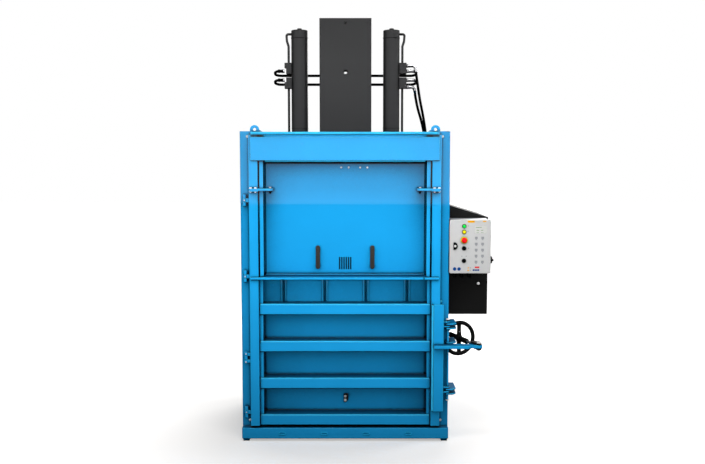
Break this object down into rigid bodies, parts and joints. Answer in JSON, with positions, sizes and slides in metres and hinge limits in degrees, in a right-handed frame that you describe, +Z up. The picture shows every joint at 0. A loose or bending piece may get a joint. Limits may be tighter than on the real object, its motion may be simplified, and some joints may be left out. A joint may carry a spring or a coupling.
{
  "type": "recycling baler",
  "caption": "Upright baling press with a hinged strap door, a sliding feed gate, hydraulic press plate, guide mast, screw lock with handwheel and side power pack.",
  "frame": {"origin": "middle of the bounding box, on the floor", "axes": "+Z up, +X to the right seen from the door, +Y from the door to the back"},
  "size_m": [1.798, 1.157, 3.055],
  "materials": {
    "blue_paint": "satin",
    "deep_blue_paint": "satin",
    "dark_grey_paint": "satin",
    "black_paint": "satin",
    "light_grey_paint": "satin",
    "steel": "satin",
    "bright_steel": "polished",
    "rubber": "matt",
    "black_plastic": "gloss",
    "green_plastic": "gloss",
    "yellow_plastic": "gloss",
    "red_plastic": "gloss"
  },
  "bodies": {
    "frame": {"skids": "black_paint", "base_frame": "blue_paint", "posts": "blue_paint", "lifting_lugs": "blue_paint", "side_walls": "blue_paint", "rear_wall": "blue_paint", "wall_ribs": "blue_paint", "top_rails": "blue_paint", "top_beams": "blue_paint", "guide_mast": "dark_grey_paint", "cylinder_barrels": "dark_grey_paint", "cylinder_caps": "dark_grey_paint", "port_blocks": "dark_grey_paint", "cylinder_pipes": "dark_grey_paint", "hose_fittings": "bright_steel", "cross_hoses": "rubber", "supply_hoses": "rubber", "frame_screws": "steel", "hinge_bodies": "blue_paint", "lock_ears": "blue_paint", "spindle_fork": "blue_paint", "pack_housing": "black_paint", "pack_drive": "black_paint", "control_box": "light_grey_paint"},
    "door": {"door_stiles": "blue_paint", "door_header": "blue_paint", "door_beams": "blue_paint", "door_panel": "deep_blue_paint", "gate_rails": "blue_paint", "sill_shelf": "blue_paint", "stop_bars": "blue_paint", "stop_cones": "rubber", "door_screws": "steel", "panel_hook": "black_paint", "hinge_knuckles": "blue_paint"},
    "gate": {"gate_panel": "blue_paint", "gate_handles": "black_paint", "gate_screws": "steel"},
    "press": {"press_plate": "deep_blue_paint", "piston_rods": "bright_steel", "guide_beam": "deep_blue_paint"},
    "lock": {"lock_bar": "blue_paint", "lock_arm": "blue_paint", "lock_bolts": "steel"},
    "spindle": {"spindle_clevis": "black_paint", "spindle_shaft": "steel", "spindle_bellows": "rubber"},
    "wheel": {"handwheel": "black_paint"},
    "cover": {"control_cover": "light_grey_paint", "button_bezels": "black_plastic", "stop_collar": "yellow_plastic"},
    "latch": {"cover_latch": "black_plastic"},
    "stop": {"stop_button": "red_plastic"},
    "green": {"green_button": "green_plastic"},
    "yellow": {"yellow_button": "yellow_plastic"},
    "raise": {"raise_button": "black_plastic"},
    "lower": {"lower_button": "black_plastic"},
    "switch": {"main_switch": "black_plastic"},
    "pack_door": {"pack_cover": "black_paint"},
    "pack_latch": {"pack_lock": "steel"}
  },
  "joints": [
    {"name": "door_swing", "type": "hinge", "parent": "frame", "child": "door", "pos_m": [-0.865, -0.4875, 1], "axis": [0, 0, -1], "range_deg": [0, 110]},
    {"name": "gate_slide", "type": "slide", "parent": "door", "child": "gate", "axis": [0, 0, 1], "range_m": [0, 0.565]},
    {"name": "press_stroke", "type": "slide", "parent": "frame", "child": "press", "axis": [0, 0, 1], "range_m": [-0.2, 0.83]},
    {"name": "lock_swing", "type": "hinge", "parent": "frame", "child": "lock", "pos_m": [0.566, -0.5065, 0.696], "axis": [0, 0, 1], "range_deg": [0, 70]},
    {"name": "spindle_swing", "type": "hinge", "parent": "lock", "child": "spindle", "pos_m": [0.7815, -0.5395, 0.696], "axis": [0, 0, 1], "range_deg": [-112, 0]},
    {"name": "wheel_spin", "type": "hinge", "parent": "spindle", "child": "wheel", "pos_m": [0.67645, -0.25956, 0.696], "axis": [-0.3514, 0.9362, 0], "continuous": true},
    {"name": "cover_swing", "type": "hinge", "parent": "frame", "child": "cover", "pos_m": [0.869, -0.44575, 1.393], "axis": [0, 0, 1], "range_deg": [0, 110]},
    {"name": "latch_turn", "type": "hinge", "parent": "cover", "child": "latch", "pos_m": [0.62, -0.4625, 1.398], "axis": [0, 1, 0], "range_deg": [0, 90]},
    {"name": "stop_press", "type": "slide", "parent": "cover", "child": "stop", "axis": [0, 1, 0], "range_m": [0, 0.004]},
    {"name": "green_press", "type": "slide", "parent": "cover", "child": "green", "axis": [0, 1, 0], "range_m": [0, 0.004], "stiffness_N_per_m": 400},
    {"name": "yellow_press", "type": "slide", "parent": "cover", "child": "yellow", "axis": [0, 1, 0], "range_m": [0, 0.004], "stiffness_N_per_m": 400},
    {"name": "raise_press", "type": "slide", "parent": "cover", "child": "raise", "axis": [0, 1, 0], "range_m": [0, 0.004], "stiffness_N_per_m": 400},
    {"name": "lower_press", "type": "slide", "parent": "cover", "child": "lower", "axis": [0, 1, 0], "range_m": [0, 0.004], "stiffness_N_per_m": 400},
    {"name": "switch_turn", "type": "hinge", "parent": "frame", "child": "switch", "pos_m": [0.869, -0.3895, 1.292], "axis": [1, 0, 0], "range_deg": [0, 90]},
    {"name": "pack_cover_swing", "type": "hinge", "parent": "frame", "child": "pack_door", "pos_m": [0.583, -0.2395, 1.035], "axis": [0, 0, -1], "range_deg": [0, 85]},
    {"name": "pack_lock_turn", "type": "hinge", "parent": "pack_door", "child": "pack_latch", "pos_m": [0.817, -0.2415, 1.1], "axis": [0, 1, 0], "range_deg": [0, 90]}
  ],
  "couplings": [
    {"joint": "spindle_swing", "follows": "lock_swing", "ratio": -1.6}
  ]
}
